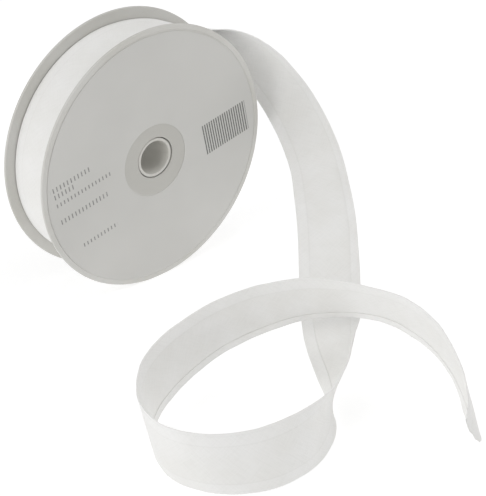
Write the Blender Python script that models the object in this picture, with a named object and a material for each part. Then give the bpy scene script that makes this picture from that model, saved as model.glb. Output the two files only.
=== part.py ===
"""A roll of folded bias tape on a flanged reel, with its free end lying in a loop.

The reel stands on its two rims. Its axis runs along Y, the labelled flange faces -Y, and the
floor is Z = 0. The pieces are shaped about a point on the floor under the middle of the reel,
then moved together so that the origin is on the floor under the middle of the whole.
Sizes below are in millimetres.
"""

import math

import bpy
import numpy as np

MM = 0.001

# Reel
RIM_R = 61.0
REST_CUT = 0.3
AXIS_Z = RIM_R - REST_CUT
GAP_HALF = 12.85
WEB_OUT = 13.65
RIM_OUT = 14.15
RIM_ROUND = 0.4
RIM_BAND = 2.2
FLANGE_HOLE_R = 9.6
TUBE_R = 9.2
BORE_R = 7.85
TUBE_HALF = 13.9
REEL_STEPS = 96
TUBE_STEPS = 48

# Printed paper ring on the front flange
LABEL_IN_R = 17.0
LABEL_OUT_R = 58.2
LABEL_GAP = 0.3
LABEL_THICK = 0.3

# Tape
TAPE_WIDTH = 25.0
HEM = 5.5
PLY = 1.0
HEM_RISE = 0.3
HEM_STEP = 0.4
SEAT = 0.3
ROLL_IN_R = TUBE_R + SEAT
STRIP_R = 55.4
ROLL_LOW_R = STRIP_R - PLY / 2 - HEM_RISE - SEAT - 0.1
ROLL_HIGH_R = STRIP_R + PLY / 2 - 0.1
ROLL_STEPS = 120
STATION = 4.4

# One row for each place along the free end, from the top of the roll to the cut tip:
# the edge on the far side, the edge on the near side, and how far the middle of the tape
# bellies out towards its plain face, or towards its hems where the number is negative.
TAPE_COLUMNS = ("far_x", "far_y", "far_z", "near_x", "near_y", "near_z", "belly")
TAPE_ROWS = (
    (0.0, 12.5, 116.1, 0.0, -12.5, 116.1, 0.0),
    (25.5, 12.3, 110.8, 26.0, -12.3, 112.9, 0.0),
    (47.0, 10.5, 95.7, 51.5, -12.0, 106.0, 0.3),
    (64.0, 4.5, 76.5, 72.5, -14.5, 91.0, 0.6),
    (71.0, -10.0, 56.0, 85.0, -25.0, 70.5, 0.6),
    (64.0, -30.5, 43.0, 81.0, -45.0, 54.5, 0.4),
    (48.0, -51.0, 42.0, 67.0, -66.5, 48.0, 0.4),
    (31.5, -71.0, 40.5, 51.0, -87.0, 42.0, 1.2),
    (16.5, -89.0, 29.0, 36.0, -105.0, 30.0, 2.2),
    (2.5, -106.0, 15.5, 19.5, -123.0, 22.0, 2.8),
    (-10.5, -129.0, 5.5, -2.0, -140.0, 26.5, 3.8),
    (-21.5, -150.5, 2.0, -23.5, -153.5, 27.0, -3.2),
    (-45.5, -163.5, 1.0, -46.5, -156.5, 25.0, -0.6),
    (-73.0, -157.5, 0.0, -70.5, -150.5, 24.5, 0.4),
    (-89.0, -136.0, 0.0, -89.5, -134.5, 25.5, 0.4),
    (-83.0, -112.0, 0.4, -88.0, -110.0, 25.5, 0.0),
    (-62.0, -98.0, 5.5, -69.0, -93.0, 29.5, -1.5),
    (-37.5, -96.0, 13.0, -43.5, -92.0, 37.0, -2.6),
    (-15.0, -104.5, 21.0, -21.0, -104.0, 45.0, -2.8),
    (4.5, -120.5, 27.5, -3.0, -124.5, 50.0, -2.4),
    (18.5, -141.5, 27.0, 11.0, -149.5, 49.5, -0.6),
    (24.5, -166.5, 16.0, 15.5, -173.5, 38.5, -0.8),
    (19.5, -184.0, 1.0, 6.5, -193.0, 21.0, 2.4),
    (13.5, -195.5, 0.5, -4.5, -199.0, 18.0, 3.2),
)

# Colour and roughness of each piece
COLOURS = {
    "front_flange": ((0.50, 0.50, 0.48), 0.45),
    "back_flange": ((0.50, 0.50, 0.48), 0.45),
    "core_tube": ((0.62, 0.62, 0.59), 0.5),
    "front_label": ((0.56, 0.56, 0.54), 0.8),
    "tape_roll": ((0.82, 0.82, 0.81), 0.95),
    "loose_tape": ((0.80, 0.80, 0.79), 0.95),
}


def clear_scene():
    """Remove whatever objects the scene holds."""
    for obj in list(bpy.data.objects):
        bpy.data.objects.remove(obj, do_unlink=True)


def material(name):
    """Principled material with the piece's colour and roughness."""
    colour, roughness = COLOURS[name]
    mat = bpy.data.materials.new(name)
    mat.use_nodes = True
    shader = mat.node_tree.nodes["Principled BSDF"]
    shader.inputs["Base Color"].default_value = (*colour, 1.0)
    shader.inputs["Roughness"].default_value = roughness
    shader.inputs["Metallic"].default_value = 0.0
    mat.diffuse_color = (*colour, 1.0)
    return mat


def add_piece(name, rings, closed_path, sharp_deg=32.0):
    """Build one closed body from rings of points in millimetres.

    rings has the shape (stations, points of a section, 3). Each section's points run
    anticlockwise as seen against the way the stations advance. A closed path joins its last
    station to its first; an open one gets a cap at both ends.
    """
    stations, points = rings.shape[:2]
    mesh = bpy.data.meshes.new(name)
    faces = []
    last = stations if closed_path else stations - 1
    for i in range(last):
        j = (i + 1) % stations
        for k in range(points):
            n = (k + 1) % points
            faces.append((i * points + k, i * points + n, j * points + n, j * points + k))
    if not closed_path:
        faces += cap_faces(points, 0, flip=True)
        faces += cap_faces(points, (stations - 1) * points, flip=False)
    mesh.from_pydata((rings.reshape(-1, 3) * MM).tolist(), [], faces)
    mesh.validate()
    mesh.shade_smooth()
    mesh.set_sharp_from_angle(angle=math.radians(sharp_deg))
    mesh.materials.append(material(name))
    obj = bpy.data.objects.new(name, mesh)
    bpy.context.scene.collection.objects.link(obj)
    return obj


def cap_faces(points, start, flip):
    """Quads across a section whose second half runs back under its first half."""
    half = points // 2
    faces = []
    for k in range(half - 1):
        quad = (start + k, start + k + 1, start + points - 2 - k, start + points - 1 - k)
        faces.append(quad[::-1] if flip else quad)
    return faces


def turned_ring(profile, steps):
    """Turn a closed profile of (radius, y) points about the reel's axis.

    The lowest points are cut level with the floor, which leaves the small flat that the
    reel rests on.
    """
    angles = (np.arange(steps) + 0.5) * (2.0 * math.pi / steps) - math.pi / 2.0
    radius = np.array([p[0] for p in profile])
    y = np.array([p[1] for p in profile])
    x = np.cos(angles)[:, None] * radius[None, :]
    z = AXIS_Z + np.sin(angles)[:, None] * radius[None, :]
    rings = np.stack([x, np.broadcast_to(y, x.shape), np.maximum(z, 0.0)], axis=-1)
    return rings


def flange(name, side):
    """Disc with a raised round rim; side is -1 for the front and 1 for the back."""
    band = RIM_R - RIM_BAND
    profile = [
        (FLANGE_HOLE_R, GAP_HALF),
        (RIM_R - RIM_ROUND, GAP_HALF),
        (RIM_R - 0.1, GAP_HALF + 0.15),
        (RIM_R, GAP_HALF + RIM_ROUND),
        (RIM_R, RIM_OUT - RIM_ROUND),
        (RIM_R - 0.15, RIM_OUT - 0.12),
        (RIM_R - RIM_ROUND - 0.1, RIM_OUT),
        (band + 0.3, RIM_OUT),
        (band, RIM_OUT - 0.15),
        (band - 0.2, WEB_OUT),
        (FLANGE_HOLE_R, WEB_OUT),
    ]
    if side < 0:
        profile = [(r, -y) for r, y in reversed(profile)]
    return add_piece(name, turned_ring(profile, REEL_STEPS), closed_path=True)


def core_tube():
    """Plain tube that joins the two flanges, its ends a little inside the rims."""
    ease = 0.3
    profile = [
        (BORE_R, -TUBE_HALF + ease),
        (BORE_R + ease, -TUBE_HALF),
        (TUBE_R - ease, -TUBE_HALF),
        (TUBE_R, -TUBE_HALF + ease),
        (TUBE_R, TUBE_HALF - ease),
        (TUBE_R - ease, TUBE_HALF),
        (BORE_R + ease, TUBE_HALF),
        (BORE_R, TUBE_HALF - ease),
    ]
    return add_piece("core_tube", turned_ring(profile, TUBE_STEPS), closed_path=True)


def front_label():
    """Paper ring that lies on the front flange inside its rim."""
    back = -WEB_OUT - LABEL_GAP
    front = back - LABEL_THICK
    profile = [
        (LABEL_IN_R, front),
        (LABEL_OUT_R, front),
        (LABEL_OUT_R, back),
        (LABEL_IN_R, back),
    ]
    return add_piece("front_label", turned_ring(profile, REEL_STEPS), closed_path=True)


def tape_roll():
    """Wound tape: its outside is a spiral that steps down where the free end leaves it.

    The step is just behind the top of the reel, clear of the free end's start. From there,
    going the way the free end goes, the radius grows by one thickness of tape in a turn.
    """
    turn = np.linspace(0.0, 1.0, ROLL_STEPS + 1)
    lead = math.radians(0.35)
    angle = math.pi / 2.0 + lead - turn * (2.0 * math.pi - lead)
    outer = ROLL_LOW_R + (ROLL_HIGH_R - ROLL_LOW_R) * np.clip((turn - 0.14) / 0.5, 0.0, 1.0)
    half = TAPE_WIDTH / 2.0
    ease = 0.5
    radius = np.stack([
        np.full_like(outer, ROLL_IN_R),
        np.full_like(outer, ROLL_IN_R),
        outer - ease,
        outer,
        outer,
        outer - ease,
    ], axis=1)
    y = np.array([half, -half, -half, -half + ease, half - ease, half])
    x = np.cos(angle)[:, None] * radius
    z = AXIS_Z + np.sin(angle)[:, None] * radius
    rings = np.stack([x, np.broadcast_to(y, x.shape), z], axis=-1)
    return add_piece("tape_roll", rings[:, ::-1], closed_path=True)


def smooth_rows(knots, values, at, start_slope):
    """Values of the smooth cubic curve through rows, at other places along it.

    The curve has a given slope at its first row and runs out straight at its last.
    """
    count = len(knots)
    step = np.diff(knots)
    rise = np.diff(values, axis=0) / step[:, None]
    system = np.zeros((count, count))
    right = np.zeros((count, values.shape[1]))
    system[0, 0] = 2.0 * step[0]
    system[0, 1] = step[0]
    right[0] = 6.0 * (rise[0] - start_slope)
    system[-1, -1] = 1.0
    for i in range(1, count - 1):
        system[i, i - 1] = step[i - 1]
        system[i, i] = 2.0 * (step[i - 1] + step[i])
        system[i, i + 1] = step[i]
        right[i] = 6.0 * (rise[i] - rise[i - 1])
    bend = np.linalg.solve(system, right)
    span = np.clip(np.searchsorted(knots, at, side="right") - 1, 0, count - 2)
    h = step[span][:, None]
    a = ((knots[span + 1] - at)[:, None]) / h
    b = 1.0 - a
    curve = a * values[span] + b * values[span + 1]
    curve += ((a ** 3 - a) * bend[span] + (b ** 3 - b) * bend[span + 1]) * h ** 2 / 6.0
    return curve


def tape_stations():
    """Middle line, direction across, outward normal and belly at even stations."""
    table = np.array(TAPE_ROWS)
    far = table[:, 0:3]
    near = table[:, 3:6]
    middle = (far + near) / 2.0
    across = (far - near) / np.linalg.norm(far - near, axis=1)[:, None]
    knots = np.concatenate([[0.0], np.cumsum(np.linalg.norm(np.diff(middle, axis=0), axis=1))])
    count = int(round(knots[-1] / STATION)) + 1
    at = np.linspace(0.0, knots[-1], count)
    values = np.hstack([middle, across, table[:, 6:7]])
    start_slope = np.array([1.0, 0.0, 0.0, 0.0, 0.0, 0.0, 0.0])
    curve = smooth_rows(knots, values, at, start_slope)
    line = curve[:, 0:3]
    along = np.gradient(line, at, axis=0)
    along /= np.linalg.norm(along, axis=1)[:, None]
    side = curve[:, 3:6]
    side /= np.linalg.norm(side, axis=1)[:, None]
    normal = np.cross(along, side)
    normal /= np.linalg.norm(normal, axis=1)[:, None]
    return line, side, normal, curve[:, 6]


def tape_section():
    """Section of the folded tape as (across, thickness, share of the belly) rows.

    The plain face is up. The other face is thicker along both edges, where the hems are
    folded under.
    """
    half = TAPE_WIDTH / 2.0
    fold = half - HEM
    across = np.array([-half, -fold - HEM_STEP / 2, -fold + HEM_STEP / 2, -fold / 2, 0.0,
                       fold / 2, fold - HEM_STEP / 2, fold + HEM_STEP / 2, half])
    hem = np.abs(across) > fold
    plain = np.full_like(across, PLY / 2)
    folded = np.where(hem, -PLY / 2 - HEM_RISE, -PLY / 2)
    share = 1.0 - (across / half) ** 2
    lower = np.stack([across, folded, share], axis=1)
    upper = np.stack([across, plain, share], axis=1)
    return np.vstack([lower, upper[::-1]])


def loose_tape():
    """Free end of the tape, a thin hemmed strip on its rows."""
    line, side, normal, belly = tape_stations()
    section = tape_section()
    shrink = 1.0 - (2.0 / 3.0) * (belly / (TAPE_WIDTH / 2.0)) ** 2
    across = section[None, :, 0] * shrink[:, None]
    rise = section[None, :, 1] + section[None, :, 2] * belly[:, None]
    rings = line[:, None, :] + across[..., None] * side[:, None, :]
    rings = rings + rise[..., None] * normal[:, None, :]
    rings[..., 2] = np.maximum(rings[..., 2], 0.0)
    return add_piece("loose_tape", rings, closed_path=False, sharp_deg=40.0)


def move_to_middle(pieces):
    """Move the pieces so that the origin is under the middle of their shared box."""
    points = np.array([v.co for piece in pieces for v in piece.data.vertices])
    middle = (points.min(axis=0) + points.max(axis=0)) / 2.0
    for piece in pieces:
        piece.location = (-middle[0], -middle[1], 0.0)


def main():
    """Build the reel, its label, the wound tape and the free end."""
    clear_scene()
    pieces = [
        flange("front_flange", -1),
        flange("back_flange", 1),
        core_tube(),
        front_label(),
        tape_roll(),
        loose_tape(),
    ]
    move_to_middle(pieces)


main()
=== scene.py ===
"""Looks of a roll of folded bias tape on a flanged reel, its free end laid in a loop.

Lengths are in millimetres, but for the floor, the lamps and names that end in _m, and are
turned to metres as each mesh is written. The tape is shaped about the point on the floor
under the middle of the reel, with the reel's axis along Y.
"""

import logging
import math
from dataclasses import dataclass, field
from enum import Enum

import bpy
import numpy as np
from mathutils import Matrix, Vector


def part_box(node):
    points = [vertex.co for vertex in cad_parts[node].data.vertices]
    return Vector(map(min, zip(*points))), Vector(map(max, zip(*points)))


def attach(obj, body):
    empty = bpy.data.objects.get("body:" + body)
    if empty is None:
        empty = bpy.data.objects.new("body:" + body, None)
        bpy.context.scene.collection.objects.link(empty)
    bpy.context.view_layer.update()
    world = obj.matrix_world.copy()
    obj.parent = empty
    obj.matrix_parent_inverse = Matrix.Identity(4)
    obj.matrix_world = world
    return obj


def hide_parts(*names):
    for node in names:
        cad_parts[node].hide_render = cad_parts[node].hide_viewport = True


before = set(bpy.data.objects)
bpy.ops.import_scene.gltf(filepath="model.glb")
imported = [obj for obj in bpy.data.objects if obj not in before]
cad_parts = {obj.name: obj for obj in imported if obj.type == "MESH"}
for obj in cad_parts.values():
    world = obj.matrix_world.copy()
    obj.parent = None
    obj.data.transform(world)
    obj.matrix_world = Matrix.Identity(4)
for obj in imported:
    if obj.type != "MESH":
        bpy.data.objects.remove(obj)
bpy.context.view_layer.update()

MM = 0.001
log = logging.getLogger("bias_tape")


# Shader maths

class Sock:
    """A shader value whose Python operators add Math nodes."""

    def __init__(self, graph: "Graph", socket: bpy.types.NodeSocket) -> None:
        """Wrap one output socket."""
        self.graph = graph
        self.socket = socket

    def _math(self, operation: str, *others: "Sock | float", swap: bool = False) -> "Sock":
        """Add a Math node on this value and the others.

        Args:
            operation: the Math node's operation.
            others: further operands.
            swap: put this value second.

        Returns:
            The node's value.
        """
        values = [self, *others]
        if swap:
            values = values[::-1]
        return self.graph.node("ShaderNodeMath", {"operation": operation},
                               dict(enumerate(values)))

    def __add__(self, other: "Sock | float") -> "Sock":
        """Sum."""
        return self._math("ADD", other)

    __radd__ = __add__

    def __sub__(self, other: "Sock | float") -> "Sock":
        """Difference."""
        return self._math("SUBTRACT", other)

    def __rsub__(self, other: "Sock | float") -> "Sock":
        """Difference, this value second."""
        return self._math("SUBTRACT", other, swap=True)

    def __mul__(self, other: "Sock | float") -> "Sock":
        """Product."""
        return self._math("MULTIPLY", other)

    __rmul__ = __mul__

    def __truediv__(self, other: "Sock | float") -> "Sock":
        """Quotient."""
        return self._math("DIVIDE", other)

    def sin(self) -> "Sock":
        """Sine."""
        return self._math("SINE")

    def abs(self) -> "Sock":
        """Size without sign."""
        return self._math("ABSOLUTE")

    def sqrt(self) -> "Sock":
        """Square root."""
        return self._math("SQRT")

    def fract(self) -> "Sock":
        """Part after the point."""
        return self._math("FRACT")

    def step(self, low: float, high: float) -> "Sock":
        """Smooth step from 0 at low to 1 at high.

        Args:
            low: value where the step starts.
            high: value where it ends.

        Returns:
            The step.
        """
        return self.graph.node("ShaderNodeMapRange", {"interpolation_type": "SMOOTHSTEP"},
                               {0: self, 1: low, 2: high, 3: 0.0, 4: 1.0})

    def band(self, low: float, high: float, soft: float) -> "Sock":
        """One between two values, with soft sides.

        Args:
            low: lower side.
            high: upper side.
            soft: half the width of each side.

        Returns:
            The band.
        """
        return self.step(low - soft, low + soft) * (1.0 - self.step(high - soft, high + soft))


class Graph:
    """Nodes of one material."""

    def __init__(self, name: str) -> None:
        """Start a material that holds a Principled BSDF and its output.

        Args:
            name: the material's name.
        """
        self.material = bpy.data.materials.new(name)
        self.material.use_nodes = True
        self.tree = self.material.node_tree
        self.shader = self.tree.nodes["Principled BSDF"]

    def node(self, kind: str, settings: dict | None = None, values: dict | None = None,
             out: int | str = 0) -> Sock:
        """Add any node.

        Args:
            kind: the node's type.
            settings: attributes that are set first.
            values: numbers or links, by input name or place.
            out: which output to return.

        Returns:
            The chosen output.
        """
        made = self.tree.nodes.new(kind)
        for key, value in (settings or {}).items():
            setattr(made, key, value)
        for key, value in (values or {}).items():
            if isinstance(value, Sock):
                self.tree.links.new(value.socket, made.inputs[key])
            else:
                made.inputs[key].default_value = value
        return Sock(self, made.outputs[out])

    def coords(self) -> Sock:
        """Object coordinates, in metres."""
        return self.node("ShaderNodeTexCoord", out="Object")

    def own_map(self, name: str) -> Sock:
        """One of the tape's own maps, in centimetres."""
        return self.node("ShaderNodeUVMap", {"uv_map": name})

    def split(self, vector: Sock) -> tuple[Sock, Sock, Sock]:
        """The three parts of a vector."""
        parts = self.node("ShaderNodeSeparateXYZ", values={0: vector})
        outputs = parts.socket.node.outputs
        return tuple(Sock(self, outputs[i]) for i in range(3))

    def join(self, x: Sock | float, y: Sock | float, z: Sock | float = 0.0) -> Sock:
        """A vector from its three parts."""
        return self.node("ShaderNodeCombineXYZ", values={0: x, 1: y, 2: z})

    def noise(self, at: Sock, scale: float, detail: float = 2.0, rough: float = 0.5) -> Sock:
        """Noise from 0 to 1.

        Args:
            at: coordinates.
            scale: how many grains there are in one unit of them.
            detail: octaves.
            rough: share of the finer octaves.

        Returns:
            The noise.
        """
        return self.node("ShaderNodeTexNoise", {"noise_dimensions": "3D"},
                         {"Vector": at, "Scale": scale, "Detail": detail, "Roughness": rough})

    def mix(self, factor: Sock | float, low: tuple | Sock, high: tuple | Sock) -> Sock:
        """Mix of two colours.

        Args:
            factor: share of the second.
            low: first colour.
            high: second colour.

        Returns:
            The colour.
        """
        made = self.tree.nodes.new("ShaderNodeMix")
        made.data_type = "RGBA"
        for place, value in ((0, factor), (6, low), (7, high)):
            if isinstance(value, Sock):
                self.tree.links.new(value.socket, made.inputs[place])
            elif isinstance(value, tuple):
                made.inputs[place].default_value = (*value, 1.0)
            else:
                made.inputs[place].default_value = value
        return Sock(self, made.outputs[2])

    def bump(self, height: Sock, distance: float, strength: float = 1.0) -> Sock:
        """Bump from a height.

        Args:
            height: the height.
            distance: what a height of 1 stands for, in metres.
            strength: share that is used.

        Returns:
            The normal.
        """
        return self.node("ShaderNodeBump", {},
                         {"Height": height, "Distance": distance, "Strength": strength})

    def set(self, **sockets: "Sock | float | tuple") -> None:
        """Set or link the Principled BSDF's sockets; an underscore stands for a space."""
        for key, value in sockets.items():
            target = self.shader.inputs[key.replace("_", " ")]
            if isinstance(value, Sock):
                self.tree.links.new(value.socket, target)
            elif isinstance(value, tuple) and len(value) == 3:
                target.default_value = (*value, 1.0)
            else:
                target.default_value = value


def shade(level: float, warm: float = 0.0) -> tuple[float, float, float]:
    """Linear colour of a near-grey.

    Args:
        level: its lightness as an sRGB value from 0 to 255.
        warm: how much its blue is held back, in the same steps. Green is held back by a
            fifth of that.

    Returns:
        Red, green and blue.
    """
    def linear(value: float) -> float:
        """One sRGB value as a linear one."""
        part = value / 255.0
        return part / 12.92 if part < 0.04045 else ((part + 0.055) / 1.055) ** 2.4
    return linear(level), linear(level - 0.2 * warm), linear(level - warm)


# Finishes

class Slot(str, Enum):
    """Material slots of the record."""

    REEL = "reel_plastic"
    TUBE = "tube_plastic"
    LABEL = "label_paper"
    WOUND = "tape_cotton"
    LOOSE = "loose_cotton"


@dataclass(frozen=True)
class MouldedPlastic:
    """Pale grey satin plastic with the faint unevenness of a moulding."""

    name: str
    centre: tuple[float, float]
    level: float = 202.0
    warm: float = 7.0
    roughness: float = 0.42
    hub_r: float = 17.6
    hub_dark_share: float = 0.9
    hub_soft: float = 0.5
    hub_drop: float = 16.0
    clouds_per_m: float = 35.0
    grains_per_m: float = 2600.0
    relief_m: float = 0.00002

    def build(self) -> bpy.types.Material:
        """Make the material: soft clouds in colour and gloss and a very fine grain.

        The ring round the hub, at a radius under hub_r, is a little darker in colour than the
        rest.
        """
        g = Graph(self.name)
        at = g.coords()
        x, _, z = g.split(at)
        from_x = x * 1000.0 - self.centre[0]
        from_z = z * 1000.0 - self.centre[1]
        radius = (from_x * from_x + from_z * from_z).sqrt()
        clouds = g.noise(at, self.clouds_per_m, 3.0)
        grain = g.noise(at, self.grains_per_m, 2.0)
        tone = g.mix(clouds.step(0.3, 0.7), shade(self.level - 4.0, self.warm),
                     shade(self.level + 3.0, self.warm * 0.7))
        past_hub = radius.step(self.hub_r - self.hub_soft, self.hub_r + self.hub_soft)
        tone = g.mix((1.0 - past_hub) * self.hub_dark_share, tone,
                     shade(self.level - self.hub_drop, self.warm))
        g.set(Base_Color=tone, Roughness=self.roughness + clouds * 0.08 + grain * 0.05,
              Normal=g.bump(grain * 0.6 + clouds, self.relief_m, 0.5), IOR=1.46)
        return g.material


@dataclass(frozen=True)
class PrintedPaper:
    """Smooth pale paper with rows of plain strokes and an even block of bars.

    A row is its start, its end, its height on the paper and how tall its strokes are, and
    the bars are the block's left, right, low and high side, all in millimetres.
    """

    name: str
    centre: tuple[float, float]
    level: float = 201.0
    warm: float = 4.5
    ink: float = 74.0
    turn_deg: float = 11.5
    rows: tuple[tuple[float, float, float, float], ...] = (
        (-55.0, -33.5, 13.9, 2.4),
        (-54.5, -43.5, 10.4, 2.4),
        (-54.0, -24.5, 6.0, 1.9),
        (-54.5, -28.0, -2.6, 2.4),
        (-46.5, -27.0, -19.8, 1.9),
    )
    row_pitch: float = 1.9
    row_start: float = -60.0
    row_ink: float = 0.75
    bars: tuple[float, float, float, float] = (27.2, 53.4, -14.3, 1.2)
    bar_pitch: float = 1.35
    ink_share: float = 0.85
    fibres_per_m: float = 1800.0
    clouds_per_m: float = 28.0
    relief_m: float = 0.00002

    def build(self) -> bpy.types.Material:
        """Make the material.

        The print lies in a frame turned about the reel's axis: x runs along the rows and z
        across them. The block of bars is a square wave in x inside a rectangle, and each
        row is a wave of thin upright strokes between two ends in x, around one z.
        """
        g = Graph(self.name)
        at = g.coords()
        x, _, z = g.split(at)
        turn = math.radians(self.turn_deg)
        from_x = x * 1000.0 - self.centre[0]
        from_z = z * 1000.0 - self.centre[1]
        along_x = from_x * math.cos(turn) + from_z * math.sin(turn)
        along_z = from_z * math.cos(turn) - from_x * math.sin(turn)
        left, right, low, high = self.bars
        wave = ((along_x - left) / self.bar_pitch).fract().band(0.25, 0.75, 0.05)
        marks = wave * along_x.band(left, right, 0.05) * along_z.band(low, high, 0.05)
        wave = ((along_x - self.row_start) / self.row_pitch).fract()
        strokes = wave.band(0.35, 0.65, 0.06) * self.row_ink
        for start, end, height, tall in self.rows:
            marks = marks + strokes * along_x.band(start, end, 0.1) * along_z.band(
                height - tall / 2.0, height + tall / 2.0, 0.08)
        fibre = g.noise(at, self.fibres_per_m, 3.0, 0.6)
        clouds = g.noise(at, self.clouds_per_m, 2.0)
        paper = g.mix(clouds.step(0.3, 0.7), shade(self.level - 2.0, self.warm),
                      shade(self.level + 2.0, self.warm))
        worn = marks * fibre.step(0.2, 0.5)
        tone = g.mix(worn * self.ink_share, paper, shade(self.ink))
        g.set(Base_Color=tone, Roughness=0.62 + fibre * 0.1,
              Normal=g.bump(fibre, self.relief_m, 0.35), IOR=1.45)
        return g.material


@dataclass(frozen=True)
class BiasCotton:
    """Fine white cotton whose threads cross the tape on the slant."""

    name: str
    level: float = 236.0
    warm: float = 2.0
    thread_mm: float = 0.36
    half_mm: float = 12.5
    lit: float = 0.0
    lit_from: float = 32.0
    lit_to: float = 78.0
    lit_soft: float = 26.0
    lit_rise: float = 16.0
    slub_wide: float = 1.1
    slub_long: float = 0.10
    dark_drop: float = 44.0
    # share of painted shade: a grey line along each hem's raw edge
    hem_edge_shade: float = 0.06
    press_line: float = 0.05
    weave_dark: float = 0.05
    thread_dark: float = 0.1
    relief_m: float = 0.00012

    def build(self) -> bpy.types.Material:
        """Make the material.

        Two square-to-each-other sets of sine ribs at 45 degrees to the tape's length are
        the threads, and noise drawn out along each set makes the thick and thin places.
        Where a hem lies under the plain face the tape is a little whiter, with a faint grey
        line of painted shade at the hem's raw edge, for the shadow of its step, and a
        fainter grey line where the fold was pressed. Just off the roll, between lit_from and
        lit_to, the colour itself is whiter: the cloth is opaque here, and this stands in for
        light that seems to come through it from above.
        """
        g = Graph(self.name)
        along, across, _ = g.split(g.own_map("cloth"))
        past_hem, _, _ = g.split(g.own_map("hem"))
        along_mm, across_mm, past_mm = along * 10.0, across * 10.0, past_hem * 10.0
        here = g.join(along_mm, across_mm)
        sway = g.noise(here, 0.12, 2.0) * 1.2
        one, two = along_mm + across_mm + sway, along_mm - across_mm + sway
        rate = 2.0 * math.pi / self.thread_mm * math.sqrt(0.5)
        weave = (one * rate).sin() * (two * rate).sin() * 0.5 + 0.5
        slub = g.noise(g.join(one * self.slub_wide, two * self.slub_long), 1.0, 2.0, 0.6)
        slub_two = g.noise(g.join(one * self.slub_long, two * self.slub_wide, 7.0), 1.0, 2.0,
                           0.6)
        threads = slub * 0.55 + slub_two * 0.45
        crease = g.noise(g.join(along_mm * 0.5, across_mm * 0.11), 1.0, 3.0, 0.55)
        clouds = g.noise(here, 0.06, 2.0)
        doubled = past_mm.step(-0.1, 0.3)
        # painted shade: a faint grey line along each hem's raw edge, for the shadow of its
        # step
        line = past_mm.band(-0.45, 0.05, 0.25)
        from_fold = (across_mm.abs() - self.half_mm).abs()
        pressed = from_fold.band(0.9, 1.4, 0.3)
        tone = g.mix(clouds.step(0.25, 0.75), shade(self.level - 3.0, self.warm * 1.8),
                     shade(self.level + 1.0, self.warm))
        tone = g.mix(doubled * 0.3, tone, shade(self.level + 4.0, self.warm * 0.6))
        lit = along_mm.band(self.lit_from, self.lit_to, self.lit_soft) * self.lit
        tone = g.mix(lit, tone, shade(self.level + self.lit_rise, self.warm * 0.5))
        dark = (line * self.hem_edge_shade + pressed * self.press_line
                + (1.0 - weave) * self.weave_dark
                + (1.0 - threads.step(0.3, 0.6)) * self.thread_dark)
        tone = g.mix(dark, tone, shade(self.level - self.dark_drop, self.warm * 3.0))
        height = weave * 0.3 + threads * 0.9 + crease * 0.8
        g.set(Base_Color=tone, Roughness=0.88 + threads * 0.08,
              Normal=g.bump(height, self.relief_m, 0.6), Sheen_Weight=0.2,
              Sheen_Roughness=0.6, IOR=1.4)
        return g.material


@dataclass(frozen=True)
class Floor:
    """Plain pale floor, lit from itself a little as a light table is."""

    name: str = "floor"
    level: float = 196.0
    glow: float = 0.58

    def build(self) -> bpy.types.Material:
        """Make the material."""
        g = Graph(self.name)
        g.set(Base_Color=shade(self.level), Roughness=0.9, Emission_Color=(1.0, 1.0, 1.0),
              Emission_Strength=self.glow, Specular_IOR_Level=0.1)
        return g.material


# Meshes

def grid_piece(name: str, points: np.ndarray, material: bpy.types.Material,
               wrap_rows: bool, sharp_deg: float,
               maps: dict[str, np.ndarray] | None = None,
               caps: bool = False) -> bpy.types.Object:
    """Make one closed piece from a grid of points.

    A face joins each point to its neighbours along and across the grid, and the last point
    of each row to its first. A grid that wraps also joins its last row to the first. Caps
    close the two end rows of a sheet whose second half of points runs back under the first.

    Args:
        name: the piece's name.
        points: rows by points by three, in millimetres.
        material: its finish.
        wrap_rows: whether the last row meets the first.
        sharp_deg: angle past which an edge stays sharp.
        maps: named pairs of coordinates, one more than the points of a ring in each row.
        caps: whether the end rows are closed.

    Returns:
        The object.
    """
    rows, count = points.shape[:2]
    row_faces = rows if wrap_rows else rows - 1
    i, k = np.broadcast_arrays(np.arange(row_faces)[:, None], np.arange(count)[None, :])
    nxt_i, nxt_k = (i + 1) % rows, (k + 1) % count
    quads = np.stack([i * count + k, i * count + nxt_k, nxt_i * count + nxt_k,
                      nxt_i * count + k], axis=-1).reshape(-1, 4)
    corners = {key: np.stack([uv[i, k], uv[i, k + 1], uv[nxt_i, k + 1], uv[nxt_i, k]],
                             axis=2).reshape(-1, 4, 2) for key, uv in (maps or {}).items()}
    if caps:
        half = np.arange(count // 2 - 1)
        cap = np.stack([half, half + 1, count - 2 - half, count - 1 - half], axis=-1)
        last = (rows - 1) * count
        quads = np.vstack([quads, cap[:, ::-1], cap + last])
        for key, uv in (maps or {}).items():
            corners[key] = np.concatenate([corners[key], uv[0][cap[:, ::-1]],
                                           uv[rows - 1][cap]])
    flat = points.reshape(-1, 3) * MM
    a, b, c, d = (flat[quads[:, n]] for n in range(4))
    volume = (np.einsum("ij,ij->i", a, np.cross(b, c)) +
              np.einsum("ij,ij->i", a, np.cross(c, d))).sum()
    if volume < 0.0:
        quads = quads[:, ::-1]
        corners = {key: uv[:, ::-1] for key, uv in corners.items()}
    mesh = bpy.data.meshes.new(name)
    mesh.from_pydata(flat.tolist(), [], quads.tolist())
    for key, uv in corners.items():
        layer = mesh.uv_layers.new(name=key)
        layer.data.foreach_set("uv", np.ascontiguousarray(uv, dtype=np.float32).ravel())
    mesh.validate()
    mesh.shade_smooth()
    mesh.set_sharp_from_angle(angle=math.radians(sharp_deg))
    mesh.materials.append(material)
    piece = bpy.data.objects.new(name, mesh)
    bpy.context.scene.collection.objects.link(piece)
    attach(piece, "root")
    log.info("%s: %d faces", name, len(mesh.polygons))
    return piece


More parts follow.
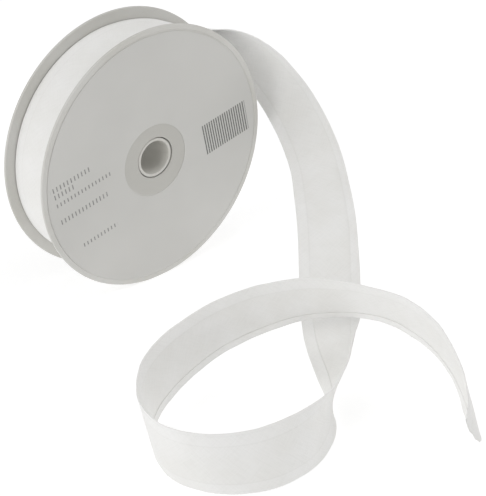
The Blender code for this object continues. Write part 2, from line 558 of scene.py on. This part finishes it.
def turned(profile: np.ndarray, steps: int, middle: tuple[float, float, float],
           floor_cut: bool = True) -> np.ndarray:
    """Turn a ring of (radius, y) points about the reel's axis.

    x = radius * cos(angle) and z = radius * sin(angle), from the reel's middle; points that
    would go under the floor lie on it.

    Args:
        profile: points by two.
        steps: how many rows go round.
        middle: the reel's middle, in millimetres.
        floor_cut: whether the floor flattens the lowest points.

    Returns:
        Rows by points by three.
    """
    angle = (np.arange(steps) + 0.5) * (2.0 * math.pi / steps) - math.pi / 2.0
    x = middle[0] + np.cos(angle)[:, None] * profile[None, :, 0]
    z = middle[2] + np.sin(angle)[:, None] * profile[None, :, 0]
    y = np.broadcast_to(middle[1] + profile[None, :, 1], x.shape)
    if floor_cut:
        z = np.maximum(z, 0.0)
    return np.stack([x, y, z], axis=-1)


def rounded(corners: list[tuple[float, float, float]], arc_points: int = 5) -> np.ndarray:
    """Closed outline with round corners.

    Each corner is (u, v, radius). The arc at a corner starts and ends one radius along its
    two sides, and its points follow a quadratic curve that hugs the corner.

    Args:
        corners: the corners in order.
        arc_points: how many points each arc has.

    Returns:
        Points by two.
    """
    places = np.array([c[:2] for c in corners], dtype=float)
    out = []
    for n, (u, v, radius) in enumerate(corners):
        here = np.array([u, v])
        if radius <= 0.0:
            out.append(here)
            continue
        back = places[n - 1] - here
        on = places[(n + 1) % len(corners)] - here
        start = here + back / np.linalg.norm(back) * radius
        end = here + on / np.linalg.norm(on) * radius
        t = np.linspace(0.0, 1.0, arc_points)[:, None]
        out.extend((1 - t) ** 2 * start + 2 * t * (1 - t) * here + t ** 2 * end)
    return np.array(out)


# Sub-assemblies

@dataclass
class Reel:
    """Two moulded discs with round rims on a thin tube."""

    middle: tuple[float, float, float]
    rim_r: float = 61.0
    gap_half: float = 12.85
    web_out: float = 13.85
    rim_out: float = 14.15
    band: float = 2.35
    hole_r: float = 9.6
    tube_r: float = 9.15
    bore_r: float = 7.85
    tube_half: float = 13.7
    tube_left: float = 0.25
    tube_up: float = 0.12
    tube_steps: int = 144
    steps: int = 240
    tube_level: float = 206.0

    def flange_outline(self) -> np.ndarray:
        """Half section of a disc: a flat web, eased at the hole, and a raised, rounded rim."""
        rim_in = self.rim_r - self.band
        return rounded([
            (self.hole_r, self.gap_half, 0.15),
            (self.rim_r, self.gap_half, 0.45),
            (self.rim_r, self.rim_out, 0.55),
            (rim_in, self.rim_out, 0.35),
            (rim_in - 0.15, self.web_out, 0.1),
            (self.hole_r + 0.9, self.web_out, 0.5),
            (self.hole_r, self.web_out - 0.1, 0.25),
        ])

    def build(self) -> None:
        """Build the two discs and the tube, which sits a little up and to the left."""
        centre = (self.middle[0], self.middle[2])
        plastic = MouldedPlastic("reel_plastic", centre).build()
        tube_plastic = MouldedPlastic("tube_plastic", centre, level=self.tube_level, warm=8.0,
                                      hub_dark_share=0.0).build()
        outline = self.flange_outline()
        for name, side in (("front_flange", -1.0), ("back_flange", 1.0)):
            profile = outline * np.array([1.0, side])
            piece = grid_piece(f"{name}_disc", turned(profile, self.steps, self.middle),
                               plastic, wrap_rows=True, sharp_deg=60.0)
            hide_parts(name)
        tube = rounded([
            (self.bore_r, -self.tube_half, 0.3),
            (self.tube_r, -self.tube_half, 0.3),
            (self.tube_r, self.tube_half, 0.3),
            (self.bore_r, self.tube_half, 0.3),
        ])
        middle = (self.middle[0] - self.tube_left, self.middle[1],
                  self.middle[2] + self.tube_up)
        points = turned(tube, self.tube_steps, middle, floor_cut=False)
        piece = grid_piece("core_tube_wall", points, tube_plastic, wrap_rows=True,
                           sharp_deg=60.0)
        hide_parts("core_tube")


@dataclass
class Label:
    """Paper ring stuck inside the front disc's rim, a little low and to the left."""

    middle: tuple[float, float, float]
    in_r: float = 17.0
    out_r: float = 58.2
    back: float = -13.87
    thick: float = 0.14
    low_out: float = 0.45
    low_in: float = 1.05
    left: float = 0.35
    steps: int = 240

    def build(self) -> None:
        """Build the ring, its cut edges just eased."""
        front = self.back - self.thick
        profile = rounded([
            (self.in_r, front, 0.05),
            (self.out_r, front, 0.05),
            (self.out_r, self.back, 0.02),
            (self.in_r, self.back, 0.02),
        ], arc_points=3)
        finish = PrintedPaper("label_paper", centre=(self.middle[0], self.middle[2]))
        points = turned(profile, self.steps, self.middle, floor_cut=False)
        inward = (self.out_r - profile[:, 0]) / (self.out_r - self.in_r)
        points[..., 0] -= self.left * inward
        points[..., 2] -= self.low_out + (self.low_in - self.low_out) * inward
        piece = grid_piece("front_label_paper", points, finish.build(),
                           wrap_rows=True, sharp_deg=50.0)
        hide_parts("front_label")


@dataclass
class WoundTape:
    """The inner turns, under the last one, which belongs to the free end."""

    middle: tuple[float, float, float]
    finish: bpy.types.Material
    in_r: float = 9.5
    out_r: float = 53.9
    half: float = 12.4
    turns: int = 44
    edge_lift: float = 0.12
    steps: int = 96

    def build(self) -> None:
        """Build the coil: its flat sides show each turn's folded edge as a low ridge.

        Along a side the y rises and falls once a turn, in straight slopes.
        """
        radius = np.linspace(self.in_r, self.out_r, self.turns * 2 + 1)
        ridge = self.half - self.edge_lift * (np.arange(len(radius)) % 2)
        side = np.stack([radius, ridge], axis=1)
        profile = np.vstack([side, side[::-1] * np.array([1.0, -1.0])])
        points = turned(profile, self.steps, self.middle, floor_cut=False)
        along = np.linspace(0.0, 2.0 * math.pi * self.out_r / 10.0, self.steps + 1)
        across = np.concatenate([profile[:, 0], profile[:1, 0]]) / 10.0
        uv = np.stack(np.broadcast_arrays(along[:, None], across[None, :]), axis=-1)
        piece = grid_piece("tape_roll_coil", points, self.finish, wrap_rows=True,
                           sharp_deg=70.0, maps={"cloth": uv, "hem": uv * 0.0 - 1.0})
        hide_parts("tape_roll")


TAPE_ROWS = (
    (0.0, 12.5, 116.1, 0.0, -12.5, 116.1, 0.0),
    (25.5, 12.3, 110.8, 26.0, -12.3, 112.9, 0.0),
    (47.0, 10.5, 95.7, 51.5, -12.0, 106.0, 0.3),
    (64.0, 4.5, 76.5, 72.5, -14.5, 91.0, 0.6),
    (71.0, -10.0, 56.0, 85.0, -25.0, 70.5, 0.6),
    (64.5, -31.0, 43.0, 81.5, -45.5, 54.5, 0.4),
    (48.5, -51.5, 42.0, 67.5, -67.0, 48.0, 0.3),
    (32.0, -71.5, 40.5, 51.5, -87.5, 42.0, 0.7),
    (16.5, -89.0, 29.0, 36.5, -105.5, 30.0, 1.4),
    (2.5, -106.0, 15.5, 19.5, -123.0, 22.0, 2.8),
    (-10.5, -129.0, 5.5, -2.0, -140.0, 26.5, 3.8),
    (-21.5, -150.5, 2.0, -23.5, -153.5, 27.0, -3.2),
    (-45.5, -163.5, 1.0, -46.5, -156.5, 25.0, -0.6),
    (-73.0, -157.5, 0.0, -70.5, -150.5, 24.5, 0.4),
    (-89.0, -136.0, 0.0, -89.5, -134.5, 25.5, 0.4),
    (-83.0, -112.0, 0.4, -88.0, -110.0, 25.5, 0.0),
    (-62.0, -98.0, 5.5, -69.0, -93.0, 29.5, -1.5),
    (-37.5, -96.0, 12.5, -43.5, -92.0, 37.0, -1.9),
    (-15.0, -104.5, 20.5, -21.0, -104.0, 45.0, -2.1),
    (4.5, -120.5, 27.5, -3.0, -124.5, 50.0, -2.4),
    (18.5, -141.5, 26.5, 11.0, -149.5, 48.5, -0.6),
    (24.5, -166.5, 16.0, 15.5, -173.5, 38.5, -0.8),
    (19.5, -184.0, 1.0, 6.5, -193.0, 21.0, 2.4),
    (13.5, -195.5, 0.5, -4.5, -199.0, 18.0, 3.2),
)


@dataclass
class TapePath:
    """Middle line of the tape: once round the roll, then along the rows to the torn tip.

    The last turn lies a little loose on the side away from the free end: it stands proud by
    a sine over proud_span, raised to the power proud_ease.

    A row holds the far edge, the near edge and how far the middle bellies towards the
    plain face (or, if negative, towards the hems), in millimetres.
    """

    axis_z: float = 60.7
    roll_r: float = 55.4
    turn_sink: float = 0.75
    proud: float = 1.0
    proud_span: float = 290.0
    proud_ease: float = 0.7
    back_turn: float = 347.0
    rows: tuple[tuple[float, ...], ...] = TAPE_ROWS
    dense: float = 0.5

    def __post_init__(self) -> None:
        """Work out the dense line and its directions."""
        s_roll = np.arange(-self.back_turn, 0.0, self.dense)
        table = np.array(self.rows)
        far, near = table[:, 0:3], table[:, 3:6]
        middle = (far + near) / 2.0
        across = (far - near) / np.linalg.norm(far - near, axis=1)[:, None]
        gaps = np.linalg.norm(np.diff(middle, axis=0), axis=1)
        knots = np.concatenate([[0.0], np.cumsum(gaps)])
        self.length = float(knots[-1])
        s_free = np.arange(0.0, self.length, self.dense)
        slope = np.array([1.0, 0.0, 0.0, 0.0, 0.0, 0.0, 0.0])
        values = np.hstack([middle, across, table[:, 6:7]])
        free = smooth_rows(knots, values, s_free, slope)
        turn = s_roll / self.roll_r
        radius = self.roll_r + self.turn_sink * turn / (2.0 * math.pi)
        loose = np.sin(np.clip(-s_roll / self.proud_span, 0.0, 1.0) * math.pi)
        radius = radius + self.proud * loose ** self.proud_ease
        roll = np.zeros((len(s_roll), 7))
        roll[:, 0] = radius * np.sin(turn)
        roll[:, 2] = self.axis_z + radius * np.cos(turn)
        roll[:, 4] = 1.0
        both = np.vstack([roll, free])
        self.s = np.concatenate([s_roll, s_free])
        along = np.gradient(both[:, 0:3], self.s, axis=0)
        along /= np.linalg.norm(along, axis=1)[:, None]
        side = both[:, 3:6] / np.linalg.norm(both[:, 3:6], axis=1)[:, None]
        normal = np.cross(along, side)
        normal /= np.linalg.norm(normal, axis=1)[:, None]
        self.table = np.hstack([both[:, 0:3], side, normal, both[:, 6:7]])
        self.end_along = along[-1]

    def at(self, s: np.ndarray) -> tuple[np.ndarray, np.ndarray, np.ndarray, np.ndarray]:
        """Line, side, normal and belly at places along the tape.

        Past the tip the line runs straight on.

        Args:
            s: places in millimetres from the top of the roll, of any shape.

        Returns:
            Middle point, direction to the far edge, plain face's normal and belly.
        """
        flat = s.ravel()
        parts = np.stack([np.interp(flat, self.s, column) for column in self.table.T], axis=1)
        over = np.maximum(flat - self.s[-1], 0.0)
        parts[:, 0:3] += over[:, None] * self.end_along
        parts = parts.reshape(*s.shape, 10)
        return parts[..., 0:3], parts[..., 3:6], parts[..., 6:9], parts[..., 9]


def smooth_rows(knots: np.ndarray, values: np.ndarray, at: np.ndarray,
                start_slope: np.ndarray) -> np.ndarray:
    """Values of the smooth cubic curve through rows, at other places along it.

    Args:
        knots: place of each row.
        values: rows by columns.
        at: the places asked for.
        start_slope: the curve's slope at the first row; it runs out straight at the last.

    Returns:
        One row of values for each place.
    """
    count = len(knots)
    step = np.diff(knots)
    rise = np.diff(values, axis=0) / step[:, None]
    system = np.zeros((count, count))
    right = np.zeros((count, values.shape[1]))
    system[0, 0], system[0, 1] = 2.0 * step[0], step[0]
    right[0] = 6.0 * (rise[0] - start_slope)
    system[-1, -1] = 1.0
    for n in range(1, count - 1):
        system[n, n - 1:n + 2] = (step[n - 1], 2.0 * (step[n - 1] + step[n]), step[n])
        right[n] = 6.0 * (rise[n] - rise[n - 1])
    bend = np.linalg.solve(system, right)
    span = np.clip(np.searchsorted(knots, at, side="right") - 1, 0, count - 2)
    h = step[span][:, None]
    a = (knots[span + 1] - at)[:, None] / h
    b = 1.0 - a
    curve = a * values[span] + b * values[span + 1]
    return curve + ((a ** 3 - a) * bend[span] + (b ** 3 - b) * bend[span + 1]) * h ** 2 / 6.0


FOLD_ROWS = (
    (-350.0, 5.0, 5.0, 12.5),
    (30.0, 4.8, 4.2, 12.5),
    (100.0, 4.6, 3.2, 12.5),
    (150.0, 4.6, 3.3, 12.6),
    (190.0, 4.6, 3.4, 13.0),
    (212.0, 4.6, 3.9, 13.2),
    (240.0, 4.6, 4.6, 12.8),
    (280.0, 4.4, 4.8, 12.5),
    (330.0, 4.2, 5.2, 12.5),
    (390.0, 3.6, 4.9, 12.5),
    (425.0, 3.4, 4.6, 12.8),
    (455.0, 4.0, 4.5, 13.0),
    (475.0, 4.7, 4.6, 12.8),
    (510.0, 4.8, 4.6, 12.5),
    (560.0, 4.2, 4.6, 12.5),
    (600.0, 4.0, 4.6, 12.5),
)


@dataclass
class FoldedTape:
    """The tape: one cloth with both edges folded under, from the last turn to the tip.

    Its folds wander a little. A fold row holds a place along the tape, the far hem, the near
    hem and half the tape's width there, in millimetres.
    """

    middle: tuple[float, float, float]
    finish: bpy.types.Material
    path: TapePath = field(default_factory=TapePath)
    half: float = 12.5
    ply: float = 0.15
    fold_r: float = 0.16
    ply_gap: float = 0.03
    station: float = 1.3
    seed: int = 7
    waves: tuple[tuple[float, float], ...] = ((61.0, 0.22), (37.0, 0.18), (19.0, 0.10),
                                              (9.5, 0.05))
    wave_tilt: float = 0.06
    wave_edge: float = 0.65
    twist_share: float = 0.4
    twist_long: float = 1.37
    wave_start: float = 25.0
    wave_fade: float = 60.0
    sag: float = 0.12
    sag_half: float = 7.5
    sag_fade: float = 60.0
    hem_lift: float = 0.015
    hem_ease: float = 0.25
    floor_gap: float = 0.05
    tip_fade: float = 14.0
    fold_rows: tuple[tuple[float, ...], ...] = FOLD_ROWS
    tip_rows: tuple[tuple[float, float], ...] = (
        (-12.5, -6.3), (-10.0, -2.8), (-7.5, 0.0), (-6.2, 1.0), (-5.8, 3.8), (0.0, 4.0),
        (2.5, 2.6), (5.0, 1.5), (7.5, 0.0), (12.5, -1.0),
    )
    frays: tuple[tuple[float, float, float], ...] = ((0.16, 7.3, 0.0), (0.12, 12.7, 1.0))

    def folds(self, s: np.ndarray) -> tuple[np.ndarray, ...]:
        """Far hem, near hem and half width at places along the tape.

        Each value moves from row to row along a cosine.

        Args:
            s: the places.

        Returns:
            The three widths, in millimetres.
        """
        rows = np.array(self.fold_rows)
        k = np.clip(np.searchsorted(rows[:, 0], s, side="right") - 1, 0, len(rows) - 2)
        part = np.clip((s - rows[k, 0]) / (rows[k + 1, 0] - rows[k, 0]), 0.0, 1.0)
        part = (1.0 - np.cos(np.pi * part)) / 2.0
        return tuple(rows[k, c] + (rows[k + 1, c] - rows[k, c]) * part for c in (1, 2, 3))

    def side_points(self, hem: np.ndarray,
                    half: np.ndarray) -> tuple[np.ndarray, np.ndarray, np.ndarray]:
        """Middle line of the cloth from the tape's middle to one hem's raw edge.

        The plain ply is flat, the edge turns through a half circle, and the hem comes back
        under it and closes up to it, as far as ply_gap, over its first half.

        Args:
            hem: its width at each row.
            half: half the tape's width at each row.

        Returns:
            Cut place v, place across w and height h, rows by points.
        """
        inner = (half - hem)[:, None]
        flat_half = half[:, None] - self.fold_r - self.ply / 2.0
        inside = np.array([0.0, 0.3, 0.6, 0.8, 0.93, 0.985])
        outside = np.array([0.015, 0.1, 0.35, 0.7])
        flat = np.hstack([inner * inside, inner + (flat_half - inner) * outside])
        turn = np.linspace(0.0, math.pi, 6)
        back = np.array([0.06, 0.2, 0.5, 0.8, 0.95, 1.0])
        ones = np.ones((len(hem), 1))
        arc_w = flat_half + self.fold_r * np.sin(turn)
        arc_v = flat_half + self.fold_r * turn
        hem_w = flat_half - hem[:, None] * back
        hem_v = arc_v[:, -1:] + hem[:, None] * back
        press = (2.0 * self.fold_r - self.ply - self.ply_gap) * np.clip(back / 0.5, 0.0, 1.0)
        w = np.hstack([flat, arc_w, hem_w])
        v = np.hstack([flat, arc_v, hem_v])
        h = np.hstack([flat * 0.0, ones * (-self.fold_r * (1.0 - np.cos(turn))),
                       ones * (press - 2.0 * self.fold_r)])
        return v, w, h

    def section(self, s: np.ndarray) -> tuple[np.ndarray, ...]:
        """Ring of the cloth's section at each row: one face out and the other back.

        Args:
            s: place of each row.

        Returns:
            Cut place, place across, height and place past the hem's edge.
        """
        far, near, half = self.folds(s)
        v_far, w_far, h_far = self.side_points(far, half)
        v_near, w_near, h_near = self.side_points(near, half)
        v = np.hstack([-v_near[:, :0:-1], v_far])
        w = np.hstack([-w_near[:, :0:-1], w_far])
        h = np.hstack([h_near[:, :0:-1], h_far])
        past = np.hstack([(w_near - (half - near)[:, None])[:, :0:-1],
                          w_far - (half - far)[:, None]])
        dw, dh = np.gradient(w, axis=1), np.gradient(h, axis=1)
        size = np.hypot(dw, dh)
        out_w, out_h = -dh / size * self.ply / 2.0, dw / size * self.ply / 2.0
        ring_w = np.hstack([w + out_w, (w - out_w)[:, ::-1]])
        ring_h = np.hstack([h + out_h, (h - out_h)[:, ::-1]])
        return (np.hstack([v, v[:, ::-1]]), ring_w, ring_h,
                np.hstack([past, past[:, ::-1]]))

    def sway(self, s: np.ndarray, w: np.ndarray) -> np.ndarray:
        """Unevenness of the hanging cloth, in millimetres along its normal.

        Low waves along the length, each a wave length and a size, are stronger towards the
        edges and fade in where the tape has left the roll.

        Args:
            s: place along.
            w: place across.

        Returns:
            The height.
        """
        rng = np.random.default_rng(self.seed)
        free = np.clip((s - self.wave_start) / self.wave_fade, 0.0, 1.0)
        total = np.zeros(np.broadcast(s, w).shape)
        for length, size in self.waves:
            phase = rng.uniform(0.0, 2.0 * math.pi, 2)
            tilt = rng.uniform(-self.wave_tilt, self.wave_tilt)
            wave = np.sin(2.0 * math.pi * s / length + phase[0] + tilt * w)
            share = 1.0 - self.wave_edge + self.wave_edge * (w / self.half) ** 2
            total = total + size * wave * share
            twist = np.sin(2.0 * math.pi * s / (length * self.twist_long) + phase[1])
            total = total + self.twist_share * size * twist * w / self.half
        return total * free

    def roll_sag(self, s: np.ndarray, w: np.ndarray) -> np.ndarray:
        """How the last turn sinks between the double hems under it.

        Args:
            s: place along.
            w: place across.

        Returns:
            The height, zero or less, in millimetres.
        """
        on_roll = np.clip(1.0 - s / self.sag_fade, 0.0, 1.0)
        inside = 1.0 - np.clip(np.abs(w) / self.sag_half, 0.0, 1.0) ** 2
        return -self.sag * on_roll * inside ** 2

    def tip(self, w: np.ndarray) -> np.ndarray:
        """How far the slanting, torn-off end reaches past the path's end, and its frays.

        A tip row is a place across and a reach. A fray is a sine's size, rate and start.

        Args:
            w: place across.

        Returns:
            The reach in millimetres.
        """
        rows = np.array(self.tip_rows)
        frays = sum(size * np.sin(w * rate + start) for size, rate, start in self.frays)
        return np.interp(w, rows[:, 0], rows[:, 1]) + frays

    def build(self) -> None:
        """Build the sheet as a thin closed shell of the folded cloth.

        Each point is the path's middle, plus w along its side, plus the height along its
        normal; the two faces of the cloth lie half a ply to either side. A bellied section is
        drawn in by two thirds of the square of belly over half, as its cloth keeps its width.
        """
        start, end = -self.path.back_turn, self.path.length
        count = int(round((end - start) / self.station)) + 1
        s = np.linspace(start, end, count)
        cut, w, h, past = self.section(s)
        near_tip = np.clip((s - (end - self.tip_fade)) / self.tip_fade, 0.0, 1.0)[:, None]
        s_all = s[:, None] + near_tip * self.tip(w)
        line, side, normal, belly = self.path.at(s_all)
        hem_ridge = self.hem_lift / (1.0 + np.exp(-np.clip(past / self.hem_ease, -30.0, 30.0)))
        height = h + belly * (1.0 - (w / self.half) ** 2)
        height = height + self.sway(s_all, w) + self.roll_sag(s_all, w) + hem_ridge
        narrow = 1.0 - (2.0 / 3.0) * (belly / self.half) ** 2
        points = line + (w * narrow)[..., None] * side + height[..., None] * normal
        points[..., 2] = np.maximum(points[..., 2], self.floor_gap)
        points = points + np.array([self.middle[0], self.middle[1], 0.0])
        cloth = np.stack([s_all, cut], axis=-1) / 10.0
        hem = np.stack([past, cut], axis=-1) / 10.0
        maps = {key: np.concatenate([value, value[:, :1]], axis=1)
                for key, value in (("cloth", cloth), ("hem", hem))}
        piece = grid_piece("loose_tape_cloth", points, self.finish,
                           wrap_rows=False, sharp_deg=75.0, maps=maps, caps=True)
        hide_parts("loose_tape")


@dataclass
class Studio:
    """Floor, light and camera.

    The floor and the lamps are in metres: a lamp is its name, place, side and watts, and
    aim_up is the height that it faces.
    """

    middle: tuple[float, float, float]
    eye: tuple[float, float, float] = (-362.7, -476.8, 361.0)
    right: tuple[float, float, float] = (0.745, -0.667, 0.0)
    down: tuple[float, float, float] = (-0.339, -0.379, -0.861)
    focal_px: float = 1490.67
    frame_px: float = 496.0
    sensor: float = 36.0
    floor_half: float = 3.0
    surround: float = 0.51
    aim_up: float = 0.04
    lamps: tuple[tuple[str, tuple[float, float, float], float, float], ...] = (
        ("overhead", (-0.1, 0.1, 1.6), 1.4, 3.0),
        ("key", (-1.3, 0.0, 0.8), 0.9, 7.0),
        ("fill", (1.0, -0.5, 1.0), 1.0, 5.5),
    )

    def camera(self) -> None:
        """Camera at the photograph's viewing point."""
        data = bpy.data.cameras.new("camera")
        data.lens = self.focal_px / self.frame_px * self.sensor
        data.sensor_width = self.sensor
        data.clip_start, data.clip_end = 0.05, 10.0
        camera = bpy.data.objects.new("camera", data)
        bpy.context.scene.collection.objects.link(camera)
        right = Vector(self.right).normalized()
        up = -Vector(self.down)
        up = (up - up.dot(right) * right).normalized()
        back = right.cross(up)
        axes = Matrix((right, up, back)).transposed().to_4x4()
        place = Vector(self.eye) + Vector((self.middle[0], self.middle[1], 0.0))
        camera.matrix_world = Matrix.Translation(place * MM) @ axes
        bpy.context.scene.camera = camera

    def floor(self) -> None:
        """Wide pale floor, level with the reel's lowest points."""
        half = self.floor_half
        mesh = bpy.data.meshes.new("floor")
        corners = [(-half, -half, 0.0), (half, -half, 0.0), (half, half, 0.0),
                   (-half, half, 0.0)]
        mesh.from_pydata(corners, [], [(0, 1, 2, 3)])
        mesh.materials.append(Floor().build())
        floor = bpy.data.objects.new("floor", mesh)
        bpy.context.scene.collection.objects.link(floor)

    def lamp(self, name: str, place: tuple[float, float, float], size: float,
             watts: float) -> None:
        """Add a square soft light that faces the part.

        Args:
            name: its name.
            place: metres from the frame's origin, which lies on the floor.
            size: side of the square, in metres.
            watts: its power.
        """
        data = bpy.data.lights.new(name, "AREA")
        data.shape = "SQUARE"
        data.size = size
        data.energy = watts
        lamp = bpy.data.objects.new(name, data)
        bpy.context.scene.collection.objects.link(lamp)
        lamp.location = place
        lamp.rotation_mode = "QUATERNION"
        aim = Vector((0.0, 0.0, self.aim_up)) - Vector(place)
        lamp.rotation_quaternion = aim.to_track_quat("-Z", "Y")

    def light(self) -> None:
        """Even white surroundings and three soft lamps."""
        world = bpy.data.worlds.new("studio")
        world.use_nodes = True
        ground = world.node_tree.nodes["Background"]
        ground.inputs["Color"].default_value = (1.0, 1.0, 1.0, 1.0)
        ground.inputs["Strength"].default_value = self.surround
        bpy.context.scene.world = world
        for lamp in self.lamps:
            self.lamp(*lamp)

    def build(self) -> None:
        """Set the stage."""
        view = bpy.context.scene.view_settings
        view.view_transform = "Standard"
        view.look = "None"
        self.camera()
        self.floor()
        self.light()


def reel_middle() -> tuple[float, float, float]:
    """Middle of the reel in millimetres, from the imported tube."""
    low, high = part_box("core_tube")
    return tuple(float(value) / MM for value in (low + high) / 2.0)


def main() -> None:
    """Build every piece in order and report it."""
    logging.basicConfig(level=logging.INFO, format="%(name)s: %(message)s")
    middle = reel_middle()
    Reel(middle).build()
    Label(middle).build()
    WoundTape(middle, BiasCotton("tape_cotton").build()).build()
    FoldedTape(middle, BiasCotton("loose_cotton", lit=0.9).build()).build()
    Studio(middle).build()


if __name__ == "__main__":
    main()
